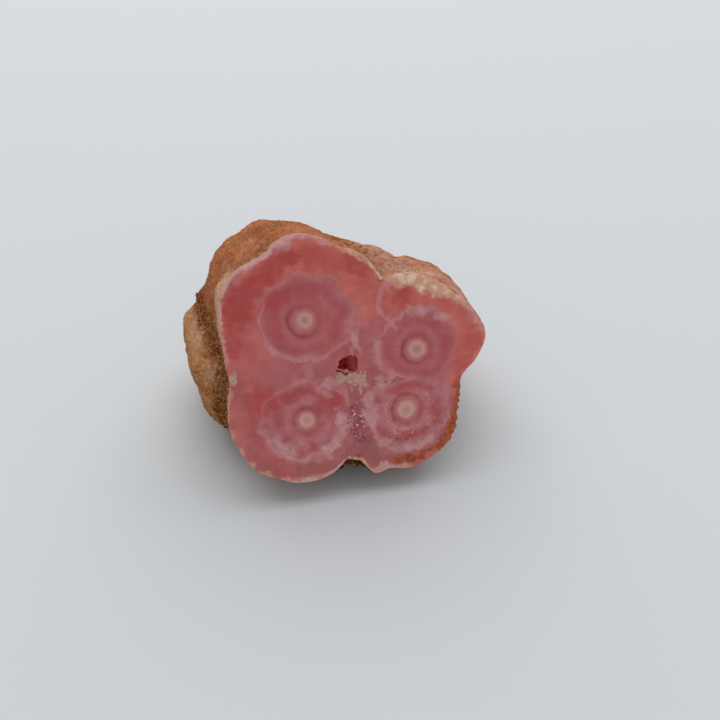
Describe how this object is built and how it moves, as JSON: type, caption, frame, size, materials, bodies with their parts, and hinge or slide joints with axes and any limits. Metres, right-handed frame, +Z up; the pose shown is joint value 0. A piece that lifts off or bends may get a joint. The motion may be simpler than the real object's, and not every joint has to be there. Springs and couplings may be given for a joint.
{
  "type": "rhodochrosite stalactite section",
  "caption": "Chunk of fused rhodochrosite stalactites with a sawn face of ringed eyes and a rough, iron-stained skin, resting on its underside.",
  "frame": {"origin": "on the surface the stone rests on, under the middle of its box", "axes": "+X to the right along the sawn face, +Y away from the side the sawn face looks to, +Z up; the sawn face leans back by 25 degrees"},
  "size_m": [0.0398, 0.0332, 0.0318],
  "materials": {
    "rhodochrosite": "sawn face banded in pink and white, smooth but not glossy; rough iron-stained skin elsewhere"
  },
  "bodies": {
    "root": {"stalactite_section": "rhodochrosite"}
  },
  "joints": []
}
